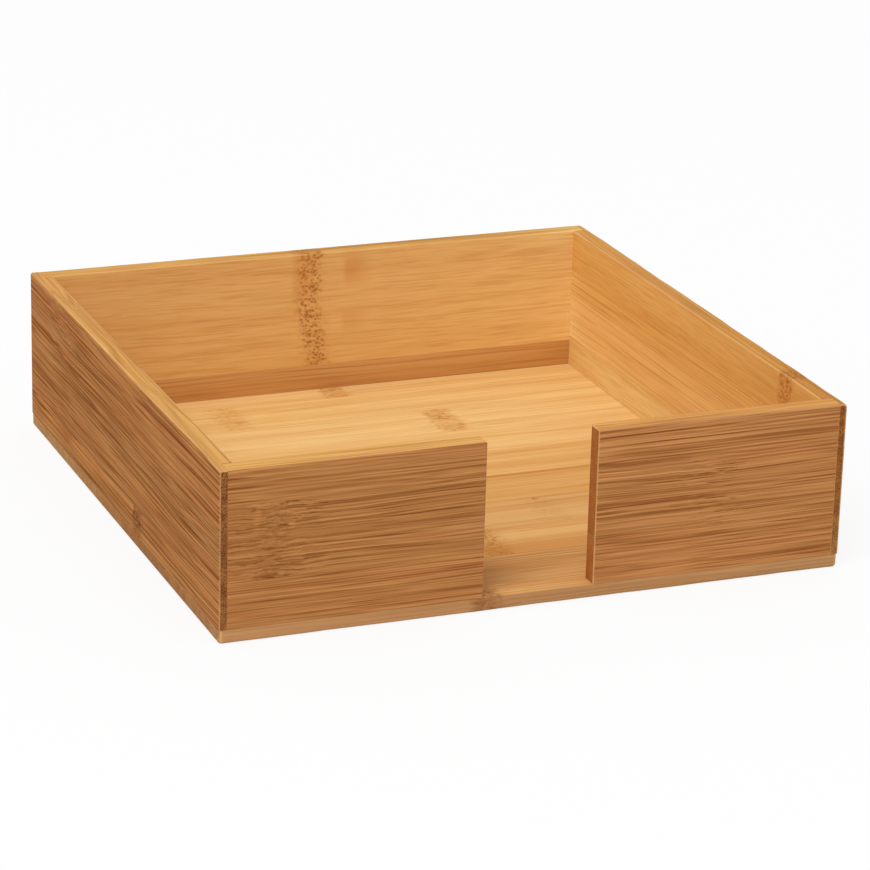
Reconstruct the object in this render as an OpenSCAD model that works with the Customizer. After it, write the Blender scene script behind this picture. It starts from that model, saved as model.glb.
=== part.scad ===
// Square bamboo napkin tray, open at the top, with a finger slot in the front wall.
// Six boards are glued together: a base under everything, two side walls that run the full depth,
// a back wall and two front panels that sit in rabbets cut into the ends of the side walls.
// Each board is edge-glued from bamboo strips, and each strip is a piece of its own.
// X runs to the right, Y to the back, Z up. The origin is the middle of the underside.

/* [Tray] */
// Outside width of the tray, across the front
tray_w = 180; // [120:1:260]
// Outside depth of the tray, front to back
tray_d = 180; // [120:1:260]
// Width of the finger slot in the front wall
slot_w = 32; // [20:1:60]

/* [Boards] */
// Thickness of the base panel
base_t = 4; // [3:0.5:8]
// Height of the walls above the base panel
wall_h = 44; // [38:1:90]
// Thickness of the walls
wall_t = 5.5; // [4:0.1:9]

/* [Corner joints] */
// Thickness of the lip that a rabbet leaves on the outside of a side wall
lip_t = 2.3; // [1.5:0.1:3]
// Gap that the glue fills between two pieces
glue_line = 0.05; // [0.02:0.01:0.15]

/* [Strips of the base] */
// Width of the strip at the front edge, cut narrower than the full ones
front_strip_w = 7.8; // [6:0.1:18]
// Width of the strip at the back edge, cut narrower than the full ones
back_strip_w = 14.6; // [6:0.1:18]

/* [Strips of the walls] */
// Height of the back wall's lower strip
back_lower_h = 8; // [5:0.5:12]
// Height of the back wall's middle strip
back_middle_h = 21; // [14:0.5:23]
// Height of the right wall's lower strip
right_lower_h = 9.5; // [5:0.5:12]
// Height of the right wall's middle strip
right_middle_h = 22; // [14:0.5:23]
// Height of the left wall's lower strip
left_lower_h = 8; // [5:0.5:12]
// Height of the left wall's middle strip
left_middle_h = 20; // [14:0.5:23]
// Height of the lower strip in both front panels
front_lower_h = 13; // [8:0.5:15]
// Height of the middle strip in both front panels
front_middle_h = 21; // [14:0.5:22]

/* [Edges] */
// Rounding of the base panel's four upright corners
corner_r = 1.5; // [0.6:0.1:2.2]
// Rounding of the base panel's lower edges
base_edge_r = 1.2; // [0.4:0.1:2]
// Small rounding on the walls' upright corners and top edges and on the edges of the slot
arris_r = 0.5; // [0.2:0.1:1]

/* [Hidden] */
$fn = 64;
full_strips = 8;
base_strips = full_strips + 2;
full_strip_w = (tray_d - front_strip_w - back_strip_w) / full_strips;
wall_z = base_t + glue_line;
rabbet_depth = wall_t - lip_t;
rabbet_w = wall_t + glue_line;
crosswise_x = lip_t + glue_line - tray_w / 2;
crosswise_w = -2 * crosswise_x;
front_panel_w = -slot_w / 2 - crosswise_x;
layer_names = ["lower", "middle", "upper"];
base_colour = "#E4AE6B";
wall_colour = "#CC8F52";
back_colour = "#D6964F";
back_lower_colour = "#BC7439";
front_colour = "#BF8149";

// A seam at the two ends of a row of strips is the board's own edge, so half a glue line is left
// off only at the seams between strips.
function seam_gap(seam, last) = seam == 0 || seam == last ? 0 : glue_line / 2;

// Distance of base seam i from the tray's front face: seam 0 is the front edge, the last the back.
function base_seam(i) = i == 0 ? 0 : i == base_strips ? tray_d : front_strip_w + (i - 1) * full_strip_w;

// Heights above the base panel of a wall's seams, from its lower and middle strips.
function wall_seams(lower_h, middle_h) = [0, lower_h, lower_h + middle_h, wall_h];

// What a rounding takes off a square corner that lies at the origin and opens towards +X and +Y.
module corner_waste(r) {
    difference() {
        translate([-r, -r]) square(2 * r);
        translate([r, r]) circle(r);
    }
}

// Cutter that rounds an upright edge at the origin; the body lies towards +X and +Y.
module round_upright(length, r) {
    translate([0, 0, -r]) linear_extrude(length + 2 * r) corner_waste(r);
}

// Cutter that rounds an edge along +X at the origin; the body lies towards +Y and +Z.
module round_along_x(length, r) {
    translate([-r, 0, 0]) rotate([90, 0, 90]) linear_extrude(length + 2 * r) corner_waste(r);
}

// Cutter that rounds an edge along +Y at the origin; the body lies towards +X and +Z.
module round_along_y(length, r) {
    translate([0, length + r, 0]) rotate([90, 0, 0]) linear_extrude(length + 2 * r) corner_waste(r);
}

// Keeps the stretch of a board from height low to height high.
module between_heights(low, high) {
    intersection() {
        children();
        translate([-tray_w, -tray_d, low]) cube([2 * tray_w, 2 * tray_d, high - low]);
    }
}

// One strip of a wall: layer 0 is the lower one, 1 the middle one and 2 the upper one.
module wall_strip(seams, layer) {
    low = seams[layer] + seam_gap(layer, 3);
    high = seams[layer + 1] - seam_gap(layer + 1, 3);
    translate([0, 0, wall_z]) between_heights(low, high) children();
}

// The whole base panel, before it is divided into strips.
module base_panel() {
    difference() {
        translate([-tray_w / 2, -tray_d / 2, 0]) cube([tray_w, tray_d, base_t]);
        for (side = [0, 1], end = [0, 1])
            mirror([side, 0, 0]) mirror([0, end, 0])
                translate([-tray_w / 2, -tray_d / 2, 0]) round_upright(base_t, corner_r);
        for (end = [0, 1])
            mirror([0, end, 0])
                translate([-tray_w / 2, -tray_d / 2, 0]) round_along_x(tray_w, base_edge_r);
        for (side = [0, 1])
            mirror([side, 0, 0])
                translate([-tray_w / 2, -tray_d / 2, 0]) round_along_y(tray_d, base_edge_r);
    }
}

// Strip i of the base panel, counted from the front.
module base_strip(i) {
    low = base_seam(i - 1) + seam_gap(i - 1, base_strips);
    high = base_seam(i) - seam_gap(i, base_strips);
    color(base_colour) intersection() {
        base_panel();
        translate([-tray_w, low - tray_d / 2, -base_t])
            cube([2 * tray_w, high - low, 3 * base_t]);
    }
}

// The left side wall as one board standing on z = 0: a rabbet at each end takes the crosswise board.
module side_wall() {
    difference() {
        translate([-tray_w / 2, -tray_d / 2, 0]) cube([wall_t, tray_d, wall_h]);
        for (end = [0, 1]) mirror([0, end, 0]) {
            translate([lip_t - tray_w / 2, -tray_d / 2 - rabbet_w, -wall_h])
                cube([rabbet_depth + wall_t, 2 * rabbet_w, 3 * wall_h]);
            translate([-tray_w / 2, -tray_d / 2, 0]) round_upright(wall_h, arris_r);
        }
        translate([-tray_w / 2, -tray_d / 2, wall_h])
            mirror([0, 0, 1]) round_along_y(tray_d, arris_r);
        translate([wall_t - tray_w / 2, -tray_d / 2, wall_h])
            mirror([1, 0, 0]) mirror([0, 0, 1]) round_along_y(tray_d, arris_r);
    }
}

// A board that runs crosswise from x, with both top edges rounded, its front face at y = -tray_d / 2.
module crosswise_board(x, length) {
    difference() {
        translate([x, -tray_d / 2, 0]) cube([length, wall_t, wall_h]);
        translate([x, -tray_d / 2, wall_h]) mirror([0, 0, 1]) round_along_x(length, arris_r);
        translate([x, wall_t - tray_d / 2, wall_h])
            mirror([0, 1, 0]) mirror([0, 0, 1]) round_along_x(length, arris_r);
    }
}

// The front panel to the left of the slot: its end at the slot is rounded on three edges.
module front_panel() {
    slot_x = -slot_w / 2;
    difference() {
        crosswise_board(crosswise_x, front_panel_w);
        translate([slot_x, -tray_d / 2, 0]) mirror([1, 0, 0]) round_upright(wall_h, arris_r);
        translate([slot_x, wall_t - tray_d / 2, 0])
            mirror([1, 0, 0]) mirror([0, 1, 0]) round_upright(wall_h, arris_r);
        translate([slot_x, -tray_d / 2, wall_h])
            mirror([1, 0, 0]) mirror([0, 0, 1]) round_along_y(wall_t, arris_r);
    }
}

module left_wall(layer) {
    color(wall_colour) wall_strip(wall_seams(left_lower_h, left_middle_h), layer) side_wall();
}

module right_wall(layer) {
    color(wall_colour) wall_strip(wall_seams(right_lower_h, right_middle_h), layer)
        mirror([1, 0, 0]) side_wall();
}

module back_wall(layer) {
    color(layer == 0 ? back_lower_colour : back_colour)
        wall_strip(wall_seams(back_lower_h, back_middle_h), layer)
            mirror([0, 1, 0]) crosswise_board(crosswise_x, crosswise_w);
}

module front_left(layer) {
    color(front_colour) wall_strip(wall_seams(front_lower_h, front_middle_h), layer) front_panel();
}

module front_right(layer) {
    color(front_colour) wall_strip(wall_seams(front_lower_h, front_middle_h), layer)
        mirror([1, 0, 0]) front_panel();
}

for (i = [1:base_strips]) base_strip(i);
for (i = [0:2]) left_wall(i);
for (i = [0:2]) right_wall(i);
for (i = [0:2]) back_wall(i);
for (i = [0:2]) front_left(i);
for (i = [0:2]) front_right(i);
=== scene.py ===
import math

import bpy
import numpy as np
from mathutils import Euler, Matrix, Vector


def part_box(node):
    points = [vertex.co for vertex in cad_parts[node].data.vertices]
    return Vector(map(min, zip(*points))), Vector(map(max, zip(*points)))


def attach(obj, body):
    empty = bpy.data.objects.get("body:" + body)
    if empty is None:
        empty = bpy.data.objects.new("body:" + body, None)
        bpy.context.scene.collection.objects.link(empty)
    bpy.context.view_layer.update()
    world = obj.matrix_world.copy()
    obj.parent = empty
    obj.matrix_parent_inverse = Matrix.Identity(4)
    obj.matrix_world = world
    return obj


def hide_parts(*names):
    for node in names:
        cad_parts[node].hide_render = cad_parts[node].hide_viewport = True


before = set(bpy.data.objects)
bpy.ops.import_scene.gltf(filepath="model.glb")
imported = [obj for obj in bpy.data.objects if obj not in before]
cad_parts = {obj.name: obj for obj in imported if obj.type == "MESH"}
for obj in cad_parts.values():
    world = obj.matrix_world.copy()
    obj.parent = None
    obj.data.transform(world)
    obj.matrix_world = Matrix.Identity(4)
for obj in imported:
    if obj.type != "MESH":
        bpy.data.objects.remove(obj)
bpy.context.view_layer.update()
scene = bpy.context.scene


# ---- Camera -------------------------------------------------------------------------------------
# A long lens about a metre away looks down on the tray, turned to show its front and its left side.
# The focal length is in pixels of the square picture, the angles are in radians.
image_side, focal_length, sensor_width = 870, 3597.3, 36.0
camera_place = (-0.36145, -0.90768, 0.36564)
camera_heading, camera_dip, camera_roll = 0.384, 0.342, 0.0276
camera_data = bpy.data.cameras.new("camera")
camera_data.sensor_width = sensor_width
camera_data.lens = focal_length * sensor_width / image_side
camera = bpy.data.objects.new("camera", camera_data)
camera.matrix_world = (
    Matrix.Translation(Vector(camera_place))
    @ Euler((math.pi / 2 - camera_dip, 0.0, -camera_heading)).to_matrix().to_4x4()
    @ Matrix.Rotation(camera_roll, 4, "Z")
)
scene.collection.objects.link(camera)
scene.camera = camera
scene.view_settings.view_transform = "Standard"


# ---- Light --------------------------------------------------------------------------------------
# A white room lights the tray evenly from all round, and a wide soft lamp hangs high in front of
# it, a little to the left. Together they light a level white surface to just about white.
def add(tree, kind, inputs=None, **settings):
    """Adds one node with its settings, gives each input a constant or a link, and returns the
    node's outputs."""
    node = tree.nodes.new(kind)
    for key, value in settings.items():
        setattr(node, key, value)
    for key, value in (inputs or {}).items():
        if isinstance(value, bpy.types.NodeSocket):
            tree.links.new(value, node.inputs[key])
        else:
            node.inputs[key].default_value = value
    return node.outputs


lamp_width, lamp_watts, lamp_place = 2.25, 61.0, (-1.55, -1.50, 2.88)
lamp_data = bpy.data.lights.new("overhead_lamp", "AREA")
lamp_data.shape = "SQUARE"
lamp_data.size = lamp_width
lamp_data.energy = lamp_watts
lamp = bpy.data.objects.new("overhead_lamp", lamp_data)
lamp.location = lamp_place
lamp.rotation_euler = Vector(lamp_place).to_track_quat("Z", "Y").to_euler()
scene.collection.objects.link(lamp)

# The camera sees plain white behind the tray, and the tray is lit by a dimmer white.
pure_white, room_level = (1, 1, 1, 1), 0.74
room = bpy.data.worlds.new("white_room")
room.use_nodes = True
tree = room.node_tree
tree.nodes.clear()
seen = add(tree, "ShaderNodeLightPath")
backdrop = add(tree, "ShaderNodeBackground", {"Color": pure_white, "Strength": 1.0})[0]
fill = add(tree, "ShaderNodeBackground", {"Color": pure_white, "Strength": room_level})[0]
lit = add(tree, "ShaderNodeMixShader", {0: seen["Is Camera Ray"], 1: fill, 2: backdrop})[0]
add(tree, "ShaderNodeOutputWorld", {"Surface": lit})
scene.world = room


# ---- Floor --------------------------------------------------------------------------------------
# A wide sheet of matt white paper, 0.02 mm below the tray's underside so that the two faces stay
# apart. The camera sees it lifted towards white, and the tray's soft shadow stays on it.
paper_half, paper_level, paper_grey, paper_lift = 3.0, -0.00002, (0.88, 0.88, 0.88, 1), 0.86
corners = ((-1, -1), (1, -1), (1, 1), (-1, 1))
paper_mesh = bpy.data.meshes.new("paper_floor")
paper_mesh.from_pydata([(x * paper_half, y * paper_half, paper_level) for x, y in corners],
                       [], [(0, 1, 2, 3)])
paper = bpy.data.objects.new("paper_floor", paper_mesh)
scene.collection.objects.link(paper)
# Uncoated paper: an even white without any shine.
paper_finish = bpy.data.materials.new("matt white paper")
paper_finish.use_nodes = True
tree = paper_finish.node_tree
tree.nodes.clear()
seen = add(tree, "ShaderNodeLightPath")
shown = add(tree, "ShaderNodeMath", {0: seen["Is Camera Ray"], 1: seen["Is Glossy Ray"]},
            operation="MAXIMUM")[0]
shown = add(tree, "ShaderNodeMath", {0: shown, 1: paper_lift}, operation="MULTIPLY")[0]
matt = add(tree, "ShaderNodeBsdfDiffuse", {"Color": paper_grey})[0]
lifted = add(tree, "ShaderNodeEmission", {"Color": pure_white, "Strength": 1.0})[0]
mixed = add(tree, "ShaderNodeMixShader", {0: shown, 1: matt, 2: lifted})[0]
add(tree, "ShaderNodeOutputMaterial", {"Surface": mixed})
paper_mesh.materials.append(paper_finish)


# ---- Base panel ---------------------------------------------------------------------------------
# The base is edge-glued from ten flat bamboo strips, 4 mm thick, whose grain runs left to right.
# It was sanded, its lower edges and corners were rounded, and it got a thin clear satin lacquer.
MM = 0.001
# Radii in mm: of an arris at a seam, of the base's lower edges, of its upright corners, and of the
# upper edges that show beside the walls.
seam_ease, base_edge, base_corner, top_ease = 0.03, 1.2, 1.5, 0.16
# Sizes in mm that all strips share: how far one reaches into a glued seam, how far apart its rings
# are, how far beside an arc a point keeps the flat side flat, half the length of a rabbet's step,
# and the smallest radius.
seam_reach, ring_step, beside, half_step, least_radius = 0.022, 3.0, 0.06, 0.004, 0.012
# A place far enough off for a strip that no node of the stem crosses, and how far strips are
# shuffled in the pattern, so that no two have the same wood.
no_node, shuffle = 900.0, 400.0
# An arc is paler, from sanding and as a painted highlight, above this radius, and so is a side
# where its end is drawn in by more than this.
pale_arc_radius, pale_end_draw = 0.2, 0.125
sharp_angle = math.radians(38)
# The colour of the dots at a node, and of a pale arris: sanding and a painted highlight.
dot_colour, rubbed_highlight_colour = "#84481A", "#DFB07C"


def linear(hex_colour):
    """Turns an sRGB hex value such as #E8B06C into linear red, green, blue and an alpha of 1."""
    srgb = [int(hex_colour[i:i + 2], 16) / 255 for i in (1, 3, 5)]
    return [c / 12.92 if c <= 0.04045 else ((c + 0.055) / 1.055) ** 2.4 for c in srgb] + [1.0]


def bamboo(name, pale, ground, shade, fibre, blush, scar_and_shade, streaking, lining, dash=1.0,
           sheen=0.05):
    """Flat-pressed bamboo seen along the grain. The mesh's grain_mm attribute is the place in the
    wood in millimetres, first along the grain, and every pattern is stretched along it: its scales
    are waves or cells per millimetre, first along the grain.
    pale, ground, shade: pale streaks, the wood at large, and its broad darker bands.
    fibre, blush, scar: dark fibre lines, a redder bloom, and a strip's marks and painted shade.
    streaking, lining: how strong the streaks and the fibre lines are.
    dash: how many times shorter the lines are. A face planed across the fibres shows dashes.
    sheen: the specular level. The lacquer is so thin and rubbed down that it hardly shines."""
    finish = bpy.data.materials.new(name)
    finish.use_nodes = True
    tree = finish.node_tree
    tree.nodes.clear()
    place, from_node, figure, tint = (
        add(tree, "ShaderNodeAttribute", attribute_name=kept)["Vector"]
        for kept in ("grain_mm", "node_mm", "figure", "tint"))
    figure = add(tree, "ShaderNodeSeparateXYZ", {0: figure})
    wear_and_highlight = add(tree, "ShaderNodeAttribute", attribute_name="arris")["Fac"]

    # Fibres wander sideways by a millimetre. Where they pass the node they curl by several and
    # break up into short pieces.
    along_node = add(tree, "ShaderNodeSeparateXYZ", {0: from_node})["X"]
    off_node = add(tree, "ShaderNodeMath", {0: along_node}, operation="ABSOLUTE")[0]
    near = add(tree, "ShaderNodeMapRange",
               {"Value": off_node, "From Min": 1.0, "From Max": 20.0, "To Min": 1.0, "To Max": 0.0},
               interpolation_type="SMOOTHSTEP")[0]
    reach = add(tree, "ShaderNodeMath", {0: near, 1: figure["Z"]}, operation="MULTIPLY")[0]
    swings = []
    for source, scale, detail in ((place, (0.017, 0.10, 0.10), 1.0),
                                  (from_node, (0.13, 0.24, 0.24), 3.0)):
        swing = add(tree, "ShaderNodeVectorMath", {0: source, 1: scale}, operation="MULTIPLY")[0]
        swing = add(tree, "ShaderNodeTexNoise",
                    {"Vector": swing, "Scale": 1.0, "Detail": detail})["Color"]
        swings.append(add(tree, "ShaderNodeVectorMath",
                          {0: swing, 1: (0.0, 1.8, 1.8), 2: (0.0, -0.9, -0.9)},
                          operation="MULTIPLY_ADD")[0])
    wander, knot = swings
    short = add(tree, "ShaderNodeVectorMath", {0: from_node, 1: (2.4, 0.0, 0.0), 2: knot},
                operation="MULTIPLY_ADD")[0]
    curl = add(tree, "ShaderNodeVectorMath", {0: short, "Scale": reach}, operation="SCALE")[0]
    bent = add(tree, "ShaderNodeVectorMath", {0: place, 1: wander}, operation="ADD")[0]
    bent = add(tree, "ShaderNodeVectorMath", {0: bent, 1: curl}, operation="ADD")[0]

    # Broad bands 3 to 8 mm wide, and a redder blush of the same size.
    fields = []
    for scale, shift, low, high in (((0.006, 0.19, 0.19), (0, 0, 0), 0.36, 0.66),
                                    ((0.010, 0.30, 0.30), (7, 3, 5), 0.46, 0.74)):
        field = add(tree, "ShaderNodeVectorMath", {0: bent, 1: scale, 2: shift},
                    operation="MULTIPLY_ADD")[0]
        field = add(tree, "ShaderNodeTexNoise",
                    {"Vector": field, "Scale": 1.0, "Detail": 2.0})["Fac"]
        fields.append(add(tree, "ShaderNodeMapRange",
                          {"Value": field, "From Min": low, "From Max": high},
                          interpolation_type="SMOOTHSTEP")[0])
    colour = add(tree, "ShaderNodeMix", {0: fields[0], 6: linear(ground), 7: linear(shade)},
                 data_type="RGBA")[2]
    warm = add(tree, "ShaderNodeMath", {0: fields[1], 1: 0.5}, operation="MULTIPLY")[0]
    colour = add(tree, "ShaderNodeMix", {0: warm, 6: colour, 7: linear(blush)}, data_type="RGBA")[2]

    # Streaks about half a millimetre wide: pale ground tissue between dark fibres.
    streak = add(tree, "ShaderNodeVectorMath", {0: bent, 1: (0.016 * dash, 1.8, 1.8)},
                 operation="MULTIPLY")[0]
    streak = add(tree, "ShaderNodeTexNoise",
                 {"Vector": streak, "Scale": 1.0, "Detail": 2.0, "Roughness": 0.5})["Fac"]
    for start, end, tone in ((0.49, 0.36, pale), (0.51, 0.66, fibre)):
        part = add(tree, "ShaderNodeMapRange",
                   {"Value": streak, "From Min": start, "From Max": end, "To Max": streaking})[0]
        colour = add(tree, "ShaderNodeMix", {0: part, 6: colour, 7: linear(tone)},
                     data_type="RGBA")[2]

    # Fibre bundles: dark lines up to 100 mm long and a third of a millimetre wide, and finer ones
    # of up to 30 mm between them. Each is a stretched cell, dark at its core, and its own random
    # value says how dark.
    lines = []
    for scale, core, fewest, most in (((0.010 * dash, 2.0, 2.0), 0.34, 0.20, 0.70),
                                      ((0.034 * dash, 3.4, 3.4), 0.46, 0.20, 0.90)):
        cell = add(tree, "ShaderNodeVectorMath", {0: bent, 1: scale}, operation="MULTIPLY")[0]
        cell = add(tree, "ShaderNodeTexVoronoi", {"Vector": cell, "Scale": 1.0})
        depth = add(tree, "ShaderNodeSeparateColor", {0: cell["Color"]})[0]
        depth = add(tree, "ShaderNodeMapRange",
                    {"Value": depth, "From Min": fewest, "From Max": most})[0]
        line = add(tree, "ShaderNodeMapRange", {"Value": cell["Distance"], "From Min": 0.08,
                                                "From Max": core, "To Min": 1.0, "To Max": 0.0})[0]
        lines.append(add(tree, "ShaderNodeMath", {0: line, 1: depth}, operation="MULTIPLY")[0])
    line = add(tree, "ShaderNodeMath", {0: lines[1], 1: 0.6, 2: lines[0]},
               operation="MULTIPLY_ADD")[0]
    darkness = add(tree, "ShaderNodeMath", {0: line, 1: lining}, operation="MULTIPLY",
                   use_clamp=True)[0]
    colour = add(tree, "ShaderNodeMix", {0: darkness, 6: colour, 7: linear(fibre)},
                 data_type="RGBA")[2]

    # Fine fibres a third of a millimetre wide, coarser than the real ones so that they show.
    fine = add(tree, "ShaderNodeVectorMath", {0: bent, 1: (0.05 * dash, 2.8, 2.8)},
               operation="MULTIPLY")[0]
    fine = add(tree, "ShaderNodeTexNoise", {"Vector": fine, "Scale": 1.0, "Detail": 2.0})["Fac"]
    contrast = 0.40 * streaking ** 2
    glow = add(tree, "ShaderNodeMapRange", {"Value": fine, "From Min": 0.3, "From Max": 0.7,
                                            "To Min": 1 - contrast, "To Max": 1 + contrast})[0]
    colour = add(tree, "ShaderNodeVectorMath", {0: colour, "Scale": glow}, operation="SCALE")[0]

    # At the node: a stained haze 10 mm long with fine curls in it, and a column 6 mm wide of soft
    # dark dots, which are cells a millimetre across. The sides of both are ragged.
    ragged = add(tree, "ShaderNodeTexNoise", {"Vector": from_node, "Scale": 0.45, "Detail": 2.0})
    off_node = add(tree, "ShaderNodeMath", {0: ragged["Fac"], 1: 5.0, 2: off_node},
                   operation="MULTIPLY_ADD")[0]
    curls = add(tree, "ShaderNodeVectorMath", {0: from_node, 1: (0.30, 0.42, 0.42)},
                operation="MULTIPLY")[0]
    curls = add(tree, "ShaderNodeTexNoise",
                {"Vector": curls, "Scale": 1.0, "Detail": 2.0, "Distortion": 1.6})["Fac"]
    dots = add(tree, "ShaderNodeVectorMath", {0: from_node, 1: (0.95, 1.25, 1.25)},
               operation="MULTIPLY")[0]
    dots = add(tree, "ShaderNodeTexVoronoi", {"Vector": dots, "Scale": 1.0})
    faint = add(tree, "ShaderNodeSeparateColor", {0: dots["Color"]})[0]
    dots = add(tree, "ShaderNodeMath", {0: faint, 1: 0.35, 2: dots["Distance"]},
               operation="MULTIPLY_ADD")[0]
    for mark, low, high, least, inner, outer, amount, tone in (
            (curls, 0.40, 0.60, 0.35, 4.0, 9.0, figure["Y"], scar_and_shade),
            (curls, 0.53, 0.62, 0.0, 5.0, 8.0, figure["Y"], fibre),
            (dots, 0.84, 0.34, 0.0, 4.8, 6.8, figure["X"], dot_colour)):
        mark = add(tree, "ShaderNodeMapRange", {"Value": mark, "From Min": low,
                                                "From Max": high, "To Min": least, "To Max": 0.8},
                   interpolation_type="SMOOTHSTEP")[0]
        there = add(tree, "ShaderNodeMapRange", {"Value": off_node, "From Min": inner,
                                                 "From Max": outer, "To Min": 1.0, "To Max": 0.0},
                    interpolation_type="SMOOTHSTEP")[0]
        for factor in (there, amount):
            mark = add(tree, "ShaderNodeMath", {0: mark, 1: factor}, operation="MULTIPLY",
                       use_clamp=True)[0]
        colour = add(tree, "ShaderNodeMix", {0: mark, 6: colour, 7: linear(tone)},
                     data_type="RGBA")[2]

    # Up to two dark patches on a strip. Each starts sharply at its low end, as where the strip
    # was heated for bending straight, and frays out towards its high end. The patch beside the left
    # front panel on the second base strip is painted shade.
    frayed = add(tree, "ShaderNodeMath", {0: streak, 1: 1.5, 2: -0.75}, operation="MULTIPLY_ADD")[0]
    for kept in ("dark_patch_1", "dark_patch_2"):
        stain = add(tree, "ShaderNodeAttribute", attribute_name=kept)["Vector"]
        stain = add(tree, "ShaderNodeSeparateXYZ", {0: stain})
        start = add(tree, "ShaderNodeMapRange",
                    {"Value": stain["X"], "From Min": -1.25, "From Max": -0.75},
                    interpolation_type="SMOOTHSTEP")[0]
        end = add(tree, "ShaderNodeMath", {0: stain["X"], 1: frayed}, operation="ADD")[0]
        end = add(tree, "ShaderNodeMapRange", {"Value": end, "From Min": -0.3,
                                               "From Max": 1.1, "To Min": 1.0, "To Max": 0.0})[0]
        side = add(tree, "ShaderNodeMath", {0: stain["Y"]}, operation="ABSOLUTE")[0]
        side = add(tree, "ShaderNodeMath", {0: side, 1: frayed}, operation="ADD")[0]
        side = add(tree, "ShaderNodeMapRange", {"Value": side, "From Min": 0.3,
                                                "From Max": 1.2, "To Min": 1.0, "To Max": 0.0})[0]
        for factor in (end, side, stain["Z"]):
            start = add(tree, "ShaderNodeMath", {0: start, 1: factor}, operation="MULTIPLY")[0]
        colour = add(tree, "ShaderNodeMix", {0: start, 6: colour, 7: linear(scar_and_shade)},
                     data_type="RGBA")[2]

    # The tint, with painted light and shade in it, and pale arrises: sanding and a painted
    # highlight.
    colour = add(tree, "ShaderNodeVectorMath", {0: colour, 1: tint}, operation="MULTIPLY")[0]
    rubbed = add(tree, "ShaderNodeMath", {0: wear_and_highlight, 1: 0.5}, operation="MULTIPLY")[0]
    colour = add(tree, "ShaderNodeMix", {0: rubbed, 6: colour, 7: linear(rubbed_highlight_colour)},
                 data_type="RGBA")[2]

    gloss = add(tree, "ShaderNodeMapRange", {"Value": fine, "To Min": 0.46, "To Max": 0.62})[0]
    relief = add(tree, "ShaderNodeMath", {0: line, 1: -0.6, 2: fine}, operation="MULTIPLY_ADD")[0]
    relief = add(tree, "ShaderNodeBump",
                 {"Height": relief, "Strength": 0.3, "Distance": 0.03 * MM})[0]
    wood = add(tree, "ShaderNodeBsdfPrincipled",
               {"Base Color": colour, "Roughness": gloss, "Normal": relief, "IOR": 1.5,
                "Specular IOR Level": sheen})[0]
    add(tree, "ShaderNodeOutputMaterial", {"Surface": wood})
    return finish


def end_grain(name, ground, bundle, pale):
    """Bamboo sawn across the grain: fibre bundles show as dark dots 0.4 mm across in a ground with
    paler clouds, and the saw and sander leave it darker than the long faces."""
    finish = bpy.data.materials.new(name)
    finish.use_nodes = True
    tree = finish.node_tree
    tree.nodes.clear()
    place, tint = (add(tree, "ShaderNodeAttribute", attribute_name=kept)["Vector"]
                   for kept in ("grain_mm", "tint"))
    cloud = add(tree, "ShaderNodeVectorMath", {0: place, 1: (0.02, 0.35, 0.35)},
                operation="MULTIPLY")[0]
    cloud = add(tree, "ShaderNodeTexNoise", {"Vector": cloud, "Scale": 1.0, "Detail": 3.0})["Fac"]
    cloud = add(tree, "ShaderNodeMapRange", {"Value": cloud, "From Min": 0.35, "From Max": 0.68},
                interpolation_type="SMOOTHSTEP")[0]
    colour = add(tree, "ShaderNodeMix", {0: cloud, 6: linear(ground), 7: linear(pale)},
                 data_type="RGBA")[2]
    cell = add(tree, "ShaderNodeVectorMath", {0: place, 1: (0.1, 2.2, 2.2)},
               operation="MULTIPLY")[0]
    cell = add(tree, "ShaderNodeTexVoronoi", {"Vector": cell, "Scale": 1.0})
    depth = add(tree, "ShaderNodeSeparateColor", {0: cell["Color"]})[0]
    depth = add(tree, "ShaderNodeMapRange", {"Value": depth, "To Min": 0.4})[0]
    dots = add(tree, "ShaderNodeMapRange", {"Value": cell["Distance"], "From Min": 0.2,
                                            "From Max": 0.56, "To Min": 1.0, "To Max": 0.0},
               interpolation_type="SMOOTHSTEP")[0]
    dots = add(tree, "ShaderNodeMath", {0: dots, 1: depth}, operation="MULTIPLY")[0]
    colour = add(tree, "ShaderNodeMix", {0: dots, 6: colour, 7: linear(bundle)},
                 data_type="RGBA")[2]
    colour = add(tree, "ShaderNodeVectorMath", {0: colour, 1: tint}, operation="MULTIPLY")[0]
    relief = add(tree, "ShaderNodeBump",
                 {"Height": dots, "Strength": 0.4, "Distance": 0.05 * MM})[0]
    wood = add(tree, "ShaderNodeBsdfPrincipled",
               {"Base Color": colour, "Roughness": 0.65, "Normal": relief, "IOR": 1.5,
                "Specular IOR Level": 0.05})[0]
    add(tree, "ShaderNodeOutputMaterial", {"Surface": wood})
    return finish


# A strip that no node crosses has no figure, and a tint of ones leaves the colour as it is.
plain, same = (0, 0, 0), (1, 1, 1)


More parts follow.
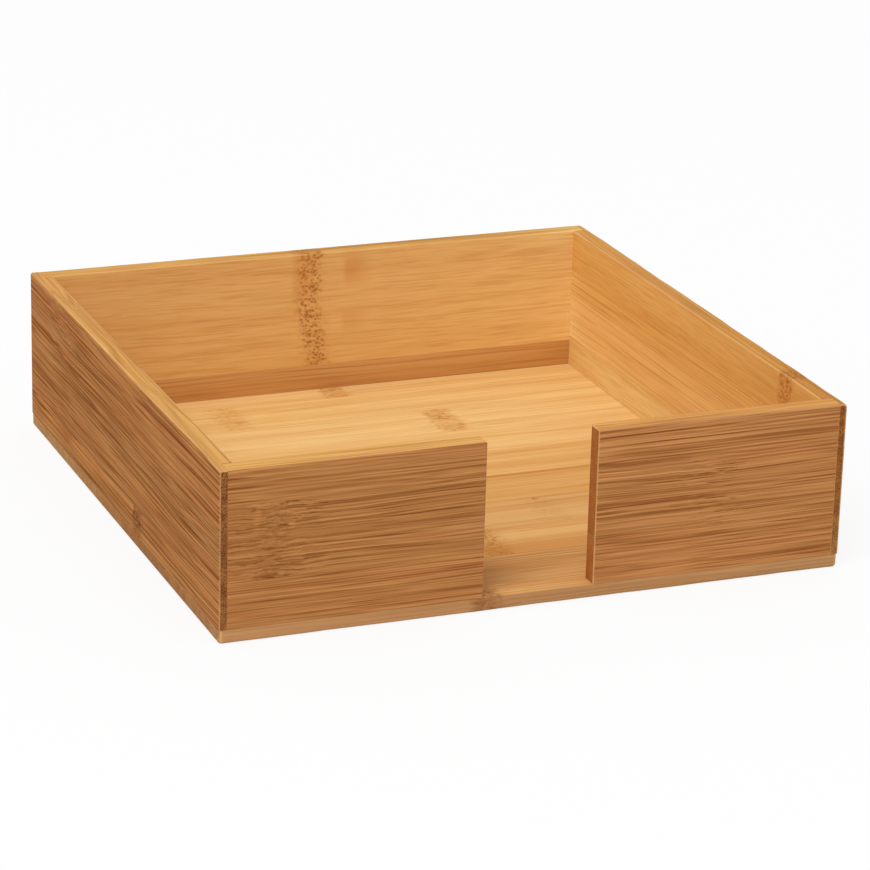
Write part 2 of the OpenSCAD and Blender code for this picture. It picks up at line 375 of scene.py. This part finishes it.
def strip(node, along, edges, ends, joined, finishes, spot=None, figure=plain, tint=same,
          stains_and_shade=(), lip=None, uneven=(0.12, 0.12, 0.12, 0.12), rub_and_highlight=(0.9, 0.1), fade=same,
          far_end=same, foot=same):
    """One strip in the CAD node's box: a rectangle with a quarter circle at each corner, carried
    along the grain. At each end every side draws in along a quarter circle of its own radius.
    along: the axis of the grain. The cross axes b and c are the next two.
    edges: radii in mm of the corners (b-,c-), (b+,c-), (b+,c+), (b-,c+).
    ends: for the low and the high end, how far sides b-, b+, c-, c+ are rounded over.
    joined: which of b-, b+, c-, c+, low end, high end (0 to 5) are glued and reach into the seam.
    finishes: materials of the sides b-, b+, c-, c+ and of the sawn ends.
    spot: where the stem's node crosses it, in mm, at the strip's low and at its high long edge.
    figure: at that node, how strong the dots and the stain are, and how far the fibres curl.
    tint: what the wood's colour is multiplied by.
    stains: up to two, each with its place, half size and strength; one is painted shade.
    lip: (side, value, depth): that side of the box stands at value within depth of both ends.
    uneven: how much hand sanding makes the radius of each corner wander, as a share of it.
    rub: how pale the sawn ends' edges and the long edges are: sanding and a painted highlight.
    fade: painted light, the high end's tint over that at the low end; most comes in the last third.
    far_end: the same for a change that comes in the last 20 mm.
    foot: the tint at the lower edge of the strip's wide side over that at its upper edge."""
    a, b, c = along, (along + 1) % 3, (along + 2) % 3
    low, high = (np.array(corner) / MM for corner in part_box(node))
    faces = ((low, b), (high, b), (low, c), (high, c), (low, a), (high, a))
    for side in joined:
        faces[side][0][faces[side][1]] += seam_reach if side % 2 else -seam_reach
    # The node's name gives the seed, so that each strip differs and is the same in each run.
    seed = np.random.default_rng(sum(ord(letter) * (i + 7) for i, letter in enumerate(node)))

    # Rings along the grain: at every step, and at the quarter circles of both ends.
    arc_points = 6
    turns = np.sin(np.linspace(0, math.pi / 2, arc_points + 1))
    start, finish = (
        np.unique(np.concatenate([r * (1 - turns) for r in side] + [[max(side) + beside]]))
        for side in ends)
    steps = np.arange(1, int((high[a] - low[a]) / ring_step)) * ring_step
    stations = [low[a] + start, high[a] - finish, low[a] + steps]
    if lip:
        sides_of_step = np.array([-half_step, half_step])
        stations += [low[a] + lip[2] + sides_of_step, high[a] - lip[2] + sides_of_step]
    s = np.unique(np.round(np.concatenate(stations), 5))

    # How far each of the four sides has drawn in at each ring.
    radii = np.array(ends, float)[:, None, :]
    reach = np.stack([s - low[a], high[a] - s])[:, :, None]
    over = np.clip(radii - reach, 0, None)
    drawn = (radii - np.sqrt(np.clip(radii ** 2 - over ** 2, 0, None))).sum(0)
    walls = np.stack([low[b] + drawn[:, 0], high[b] - drawn[:, 1],
                      low[c] + drawn[:, 2], high[c] - drawn[:, 3]], 1)
    if lip:
        in_lip = np.minimum(s - low[a], high[a] - s) < lip[2]
        inward = 1 if lip[0] % 2 == 0 else -1
        walls[:, lip[0]] = np.where(in_lip, lip[1] + inward * drawn[:, lip[0]], walls[:, lip[0]])

    # A ring is four quarter circles, with a point just beside each end of one, so that the flat
    # sides shade flat. The radii wander in waves 61, 27 and 12 mm long.
    corner = np.repeat(np.arange(4), arc_points + 3)
    step = np.tile(np.concatenate([[0], np.arange(arc_points + 1), [arc_points]]), 4)
    push = np.tile(np.concatenate([[-beside], np.zeros(arc_points + 1), [beside]]), 4)
    angle = math.pi + corner * math.pi / 2 + step / arc_points * math.pi / 2
    waves = sum(size * np.sin(2 * math.pi * s[:, None] / length + seed.uniform(0, 6.28, 4))
                for size, length in ((0.6, 61.0), (0.5, 27.0), (0.35, 12.0)))
    r = np.array(edges, float) * (1 + np.array(uneven) * waves)
    if lip:
        # The rabbet takes the inner edge away, so the lip meets the crosswise board squarely.
        r[np.ix_(in_lip, (0, 1) if lip[0] == 2 else (2, 3))] = seam_ease
    low_side_b = np.array([True, False, False, True])
    low_side_c = np.array([True, True, False, False])
    in_b = np.where(low_side_b, drawn[:, [0]], drawn[:, [1]])
    in_c = np.where(low_side_c, drawn[:, [2]], drawn[:, [3]])
    r = np.maximum(r - np.minimum(in_b, in_c), least_radius)[:, corner]
    centre_b = np.where(low_side_b[corner], walls[:, [0]] + r, walls[:, [1]] - r)
    centre_c = np.where(low_side_c[corner], walls[:, [2]] + r, walls[:, [3]] - r)
    points = np.zeros((len(s), len(corner), 3))
    points[:, :, a] = s[:, None]
    points[:, :, b] = centre_b + r * np.cos(angle) - push * np.sin(angle)
    points[:, :, c] = centre_c + r * np.sin(angle) + push * np.cos(angle)

    rings, around = points.shape[:2]
    index = np.arange(rings * around).reshape(rings, around)
    beyond = np.roll(index, -1, axis=1)
    quads = np.stack([index[:-1], beyond[:-1], beyond[1:], index[1:]], -1).reshape(-1, 4)
    sawn_faces = [index[0][::-1].tolist(), index[-1].tolist()]
    flat = points.reshape(-1, 3)
    mesh = bpy.data.meshes.new(node + "_wood")
    mesh.from_pydata((flat * MM).tolist(), [], quads.tolist() + sawn_faces)

    # Each face gets the finish of the side that it faces most. Only a rounding of more than a
    # millimetre shows end grain, a smaller one looks like its side. On a crosswise strip a rounded
    # edge looks like the upright face beside it.
    facing = np.cross(flat[quads[:, 1]] - flat[quads[:, 0]], flat[quads[:, 3]] - flat[quads[:, 0]])
    facing = facing[:, [a, b, c]]
    facing[:, 0] *= np.max(ends) > 1
    facing[:, 2] *= 0.5 if along == 0 else 1.0
    widest = np.abs(facing).argmax(1)
    positive = np.take_along_axis(facing, widest[:, None], 1)[:, 0] > 0
    sawn = 4
    which = np.append(np.where(widest == 0, sawn, (widest - 1) * 2 + positive), (sawn, sawn))
    chosen = list(dict.fromkeys(finishes))
    for material in chosen:
        mesh.materials.append(material)
    slots = np.array([chosen.index(material) for material in finishes])
    mesh.polygons.foreach_set("material_index", slots[which].astype(np.int32))
    mesh.update()
    mesh.set_sharp_from_angle(angle=sharp_angle)

    # What the materials read: the place in the wood, shuffled per strip, the way from its node, and
    # the strip's own figure, its tint with painted light and shade in it, its dark patches, one of
    # them painted shade, and its arrises, pale from sanding and a painted highlight.
    def keep(name, values, kind="FLOAT_VECTOR", field="vector"):
        attribute = mesh.attributes.new(name, kind, "POINT")
        attribute.data.foreach_set(field, np.ascontiguousarray(values, np.float32).ravel())

    wood = flat[:, [a, b, c]]
    keep("grain_mm", wood + seed.uniform(-shuffle, shuffle, 3))
    wide = 1 if high[b] - low[b] > high[c] - low[c] else 2
    from_low = (wood[:, wide] - wood[:, wide].min()) / np.ptp(wood[:, wide])
    spot_low, spot_high = spot or (no_node, no_node)
    wood[:, 0] -= spot_low + (spot_high - spot_low) * from_low
    keep("node_mm", wood)
    keep("figure", np.tile(figure, (len(flat), 1)))
    grown = ((flat[:, a] - low[a]) / (high[a] - low[a]))[:, None]
    shade = np.array(tint) * (1 + (1 - from_low[:, None]) * (np.array(foot) - 1))
    for ratio, power in ((fade, 3), (far_end, 16)):
        shade = shade * (1 + grown ** power * (np.array(ratio) - 1))
    keep("tint", shade)
    across = flat[:, (b, c)[wide - 1]]
    no_dark_patch = ((0, 0), (1, 1), 0)
    for number, (at, size, depth) in enumerate((*stains_and_shade, no_dark_patch, no_dark_patch)[:2], 1):
        keep(f"dark_patch_{number}", np.stack([(flat[:, a] - at[0]) / size[0],
                                          (across - at[1]) / size[1],
                                          np.full(len(flat), depth)], 1))
    in_arc = np.abs(np.sin(2 * angle)) > 0.3
    on_arc = np.tile(push == 0, (rings, 1)) & (r > pale_arc_radius) & in_arc
    at_end = (in_b[:, corner] > pale_end_draw) | (in_c[:, corner] > pale_end_draw)
    keep("arris", np.where(at_end, rub_and_highlight[0], np.where(on_arc, rub_and_highlight[1], 0.0)), "FLOAT", "value")

    piece = bpy.data.objects.new(node + "_wood", mesh)
    scene.collection.objects.link(piece)
    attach(piece, "root")
    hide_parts(node)


# Pale honey-coloured bamboo, sanded and lacquered: soft low contrast bands, few dark lines.
floor_bamboo = bamboo(
    "sanded bamboo, honey, satin lacquer",
    pale="#F6D190", ground="#F1C786", shade="#E4B36E", fibre="#C08C4B", blush="#EBB87C",
    scar_and_shade="#CB8538", streaking=0.34, lining=0.26)
# The front strips are browner, with more fibre lines; part of the brown is painted shade.
dark_floor_bamboo = bamboo(
    "sanded bamboo, light brown, satin lacquer",
    pale="#E6B878", ground="#D9A564", shade="#C4884A", fibre="#9C6530", blush="#D0965C",
    scar_and_shade="#94602F", streaking=0.45, lining=0.45)
# The front and back edges of the base are cut along the grain, and look duller than its face.
edge_bamboo = bamboo(
    "bamboo, sawn edge, satin lacquer",
    pale="#C89A68", ground="#BC8E5E", shade="#B08253", fibre="#8F6238", blush="#B9885C",
    scar_and_shade="#7C4A22", streaking=0.3, lining=0.3)
# The base's left and right edges are end grain: a dull tan with fine dots.
base_ends = end_grain("bamboo end grain, sanded pale", ground="#AA7A4A", bundle="#8E6238",
                      pale="#B68A5A")

# For each strip from the front: where its node is along X, or None, then its figure (dots, stain,
# curl), its tint and its dark patches (place along X and Y, half size, strength). The front strips
# are browner, partly in tone and partly as painted shade that deepens towards the front panels,
# and the colour steps from strip to strip are what shows where they are glued.
base_strips = (
    ((-15.0, -15.0), (0.3, 0.8, 0.8), (1.0, 0.96, 0.94), ()),
    # The second strip's patch beside the left front panel's slot end is painted shade.
    (None, plain, (0.88, 0.82, 0.80), (((-20.0, -74.5), (20.0, 11.0), 1.0),)),
    ((0.8, 0.8), (0.3, 0.7, 0.6), (0.84, 0.73, 0.62), (((30.0, -64.0), (60.0, 11.0), 0.4),)),
    ((26.4, 26.4), (0, 0.12, 0.2), (0.80, 0.69, 0.60), (((27.0, -24.6), (1.2, 0.8), 0.9),)),
    (None, plain, (0.815, 0.675, 0.52), (((30.0, -4.2), (60.0, 1.0), 0.7),)),
    (None, plain, (0.89, 0.78, 0.65), ()),
    (None, plain, (0.96, 0.90, 0.83), ()),
    ((27.0, 27.0), (0.0, 0.8, 0.8), (0.99, 0.98, 0.95), ()),
    ((-35.0, -35.0), (0.0, 0.4, 0.8), (1.0, 1.01, 0.98), ()),
    ((3.6, 3.6), (0.15, 0.7, 0.5), (1.00, 1.01, 0.99), ()),
)
for number, (spot, figure, tint, stains_and_shade) in enumerate(base_strips, 1):
    first, last = number == 1, number == len(base_strips)
    face = dark_floor_bamboo if number < 3 else floor_bamboo
    side_ends = (base_corner if first else seam_ease, base_corner if last else seam_ease,
                 base_edge, top_ease)
    strip(f"base_strip_{number}", 0,
          edges=(base_edge if first else seam_ease, base_edge if last else seam_ease,
                 top_ease if last else seam_ease, top_ease if first else seam_ease),
          ends=(side_ends, side_ends),
          joined=(1,) if first else (0,) if last else (0, 1),
          finishes=(edge_bamboo, edge_bamboo, face, face, base_ends),
          spot=spot, figure=figure, tint=tint, stains_and_shade=stains_and_shade,
          # Paler and yellower towards the right end: painted light.
          fade=(1.02, 1.09, 1.13))


# ---- Back wall ----------------------------------------------------------------------------------
# Three bamboo strips glued edge to edge, 5.5 mm thick, between the lips of the side walls. The
# lower strip comes from a darker stem. A node crosses the other two with a column of dots.

# The inner faces of the walls are an even gold, with short faint dashes; the gold is paler than
# the outer brown partly as painted light.
inner_bamboo = bamboo(
    "steamed bamboo, golden, satin lacquer",
    pale="#EFC384", ground="#E6B571", shade="#DFAB65", fibre="#B87838", blush="#E5AC72",
    scar_and_shade="#D08A42", streaking=0.25, lining=0.21, dash=4.0)
# Some of them have the same gold with long red-brown fibre lines in it.
lined_bamboo = bamboo(
    "steamed bamboo, gold with red-brown fibre lines, satin lacquer",
    pale="#EFC384", ground="#E6B571", shade="#DDA963", fibre="#A8642A", blush="#E5AC72",
    scar_and_shade="#D08A42", streaking=0.32, lining=0.42)
# The top edges are sanded most: a clear yellow gold, with many streaks close together.
top_bamboo = bamboo(
    "steamed bamboo, sanded top edge, satin lacquer",
    pale="#EAB96E", ground="#DCA355", shade="#CC8F44", fibre="#965F26", blush="#D89A5C",
    scar_and_shade="#B87430", streaking=0.5, lining=0.6)
# The top edge of the left front panel is paler.
front_top_bamboo = bamboo(
    "steamed bamboo, sanded top edge, paler, satin lacquer",
    pale="#F2C67D", ground="#E4AE60", shade="#D3994D", fibre="#9B662B", blush="#DFA468",
    scar_and_shade="#C07C38", streaking=0.5, lining=0.5)
# The top edge of the right wall is browner and calmer.
right_top_bamboo = bamboo(
    "steamed bamboo, sanded top edge, browner, satin lacquer",
    pale="#DDA660", ground="#D0964E", shade="#C4883F", fibre="#8E5A28", blush="#C88E54",
    scar_and_shade="#A86A28", streaking=0.4, lining=0.3)
# The outer faces were close under the skin of the stem, where the fibres are dense: strong dark
# lines on brown. The brown is darker than the inner gold partly as painted shade.
outer_bamboo = bamboo(
    "steamed bamboo, brown with dark fibre lines, satin lacquer",
    pale="#C89058", ground="#B57C47", shade="#AC7541", fibre="#703508", blush="#B16D40",
    scar_and_shade="#6B3C18", streaking=0.56, lining=0.98)
# The outer faces of the side walls have the densest and darkest lines, and their dark brown is
# partly painted shade. They are rubbed matt, so that no shine greys the lines where the face is
# seen at a low angle, and their colours are lifted instead by what the shine gave: a painted sheen.
side_bamboo = bamboo(
    "steamed bamboo, dark brown with dense fibre lines, matt lacquer",
    pale="#C18A52", ground="#B37A47", shade="#A87546", fibre="#6C3006", blush="#B06B43",
    scar_and_shade="#754E3A", streaking=0.66, lining=1.05, sheen=0.0)
# The sawn ends are dark, stippled with dots that are almost black.
wall_ends = end_grain("bamboo end grain, dark and stippled", ground="#87522B", bundle="#46220B",
                      pale="#9E6836")
# The ends at the slot are sanded smooth: an even red-brown, in which the dots hardly show.
slot_ends = end_grain("bamboo end grain, sanded smooth", ground="#A3642E", bundle="#8B5426",
                      pale="#AC6F38")

# The radius in mm of a wall's free edges, and the roundings of a board's end that is glued.
top_round = 0.5
square_end = (seam_ease,) * 4
layers = ("lower", "middle", "upper")
# For each strip: where its node is along X at its lower and its upper edge, or None, then its
# figure, tint, dark patches (place along X and Z, half size, strength), far end and foot. The
# lower strip's darker far end and foot are painted shade, in the corner at the right wall and
# along the floor.
back_strips = (
    (None, plain, (0.79, 0.70, 0.665), (), (0.90, 0.86, 0.84), (0.93, 0.87, 0.80)),
    ((-0.7, -3.9), (0.75, 0.45, 0.3), (0.96, 0.96, 0.95), (((12.0, 25.5), (4.5, 4.0), 0.3),),
     (1.08, 1.20, 1.40), same),
    ((-3.7, -3.1), (0.75, 0.5, 0.3), (0.95, 0.94, 0.93),
     (((12.5, 42.5), (4.5, 5.5), 0.5), ((-5.0, 41.0), (4.0, 20.0), 0.25)),
     (1.08, 1.20, 1.40), same),
)
for layer, (spot, figure, tint, stains_and_shade, far_end, foot) in zip(layers, back_strips):
    upper = layer == "upper"
    top = top_round if upper else seam_ease
    strip(f"back_wall_{layer}", 0, edges=(seam_ease, seam_ease, top, top),
          ends=(square_end, square_end), joined=(2, 4, 5) if upper else (2, 3, 4, 5),
          finishes=(lined_bamboo if layer == "lower" else inner_bamboo, outer_bamboo,
                    outer_bamboo, top_bamboo if upper else outer_bamboo, wall_ends),
          spot=spot, figure=figure, tint=tint, stains_and_shade=stains_and_shade,
          # Paler towards the right end: painted light.
          fade=(1.12, 1.22, 1.22), far_end=far_end, foot=foot)


# ---- Side walls ---------------------------------------------------------------------------------
# Each side wall is three strips glued edge to edge and runs the full depth. A rabbet at each end
# takes the crosswise board, so only a 2.3 mm lip of dark end grain shows at the front and back.

# How far the lip's inner face is from the tray's middle plane, and how long a rabbet is, in mm.
lip_face, rabbet = 87.7, 5.55
# Sanding rounded the outer top edges more than the rest, the left one unevenly. For each wall, in
# mm: the radius along that edge, and how far its front and back ends are rounded over.
left_outer_top, left_top_end = 0.7, 0.3
right_outer_top, right_top_end = 1.4, 0.6
# For each strip of the left wall: where its node is along Y, or None, then its figure and tint.
left_strips = (
    ((-18.5, -18.5), (0.5, 0.8, 0.5), (0.98, 0.98, 1.0)),
    (None, plain, (0.90, 0.90, 0.92)),
    ((60.0, 60.0), (0, 0, 0.6), (0.91, 0.89, 0.91)),
)
for layer, (spot, figure, tint) in zip(layers, left_strips):
    upper = layer == "upper"
    end = (seam_ease, left_top_end if upper else seam_ease, top_round, seam_ease)
    strip(f"left_wall_{layer}", 1, ends=(end, end),
          edges=(seam_ease, left_outer_top if upper else seam_ease,
                 top_round if upper else seam_ease, seam_ease),
          joined=(0,) if upper else (0, 1),
          finishes=(side_bamboo, top_bamboo if upper else side_bamboo, side_bamboo, inner_bamboo,
                    wall_ends),
          spot=spot, figure=figure, tint=tint,
          lip=(3, -lip_face, rabbet), uneven=(0.1, 0.6, 0.2, 0.1), rub_and_highlight=(0.35, 0.25),
          # Paler towards the back end: painted light.
          fade=(1.06, 1.05, 1.05))
# The same for the right wall, and the far end and foot of each strip. Its middle strip is redder,
# and paler towards its foot and the far corner. The lower strip's darker far end is painted shade
# in the corner at the back wall.
right_strips = (
    (None, plain, (1.05, 1.20, 1.32), (0.95, 0.85, 0.65), same),
    (None, plain, (0.97, 0.89, 0.68), (1.12, 1.40, 1.90), (1.13, 1.30, 1.75)),
    ((-63.5, -63.5), (0.55, 0.8, 0.5), (0.98, 0.92, 0.76), (1.03, 1.08, 1.15), same),
)
for layer, (spot, figure, tint, far_end, foot) in zip(layers, right_strips):
    upper = layer == "upper"
    end = (seam_ease, right_top_end if upper else seam_ease, seam_ease,
           right_top_end if upper else top_round)
    strip(f"right_wall_{layer}", 1, ends=(end, end),
          edges=(seam_ease, top_round if upper else seam_ease,
                 right_outer_top if upper else seam_ease, seam_ease),
          joined=(0,) if upper else (0, 1),
          finishes=(side_bamboo, right_top_bamboo if upper else side_bamboo,
                    lined_bamboo if layer == "middle" else inner_bamboo, side_bamboo, wall_ends),
          spot=spot, figure=figure, tint=tint,
          lip=(2, lip_face, rabbet), rub_and_highlight=(0.6, 0.5),
          # Paler towards the back end: painted light.
          fade=(1.05, 1.10, 1.11), far_end=far_end, foot=foot)


# ---- Front panels -------------------------------------------------------------------------------
# The two panels beside the finger slot are cut from one board of three glued strips, brown with
# strong dark fibre lines. Their ends at the slot are eased with sandpaper.

# For each strip: where its node is along X at its lower and its upper edge, or None, then its
# figure and tint.
front_left_strips = (
    (None, plain, (0.97, 0.94, 0.91)),
    ((-76.0, -74.0), (0, 0.2, 1.3), (0.94, 0.92, 0.89)),
    (None, plain, (0.95, 0.92, 0.88)),
)
front_right_strips = (
    (None, plain, (1.03, 0.99, 1.0)),
    ((52.0, 50.0), (0, 0.0, 0.5), (1.01, 0.98, 0.99)),
    (None, plain, (1.02, 0.99, 0.99)),
)
for side, rows, top_finish, edge_rub_and_highlight in (("left", front_left_strips, front_top_bamboo, 0.1),
                                         ("right", front_right_strips, top_bamboo, 0.6)):
    left = side == "left"
    for layer, (spot, figure, tint) in zip(layers, rows):
        upper = layer == "upper"
        top = top_round if upper else seam_ease
        slot_end = (top_round, top_round, seam_ease, top)
        strip(f"front_{side}_{layer}", 0, edges=(seam_ease, seam_ease, top, top),
              ends=(square_end, slot_end) if left else (slot_end, square_end),
              joined=((2,) if upper else (2, 3)) + ((4,) if left else (5,)),
              finishes=(outer_bamboo, inner_bamboo, outer_bamboo,
                        top_finish if upper else outer_bamboo, slot_ends),
              spot=spot, figure=figure, tint=tint, rub_and_highlight=(0.9, edge_rub_and_highlight))
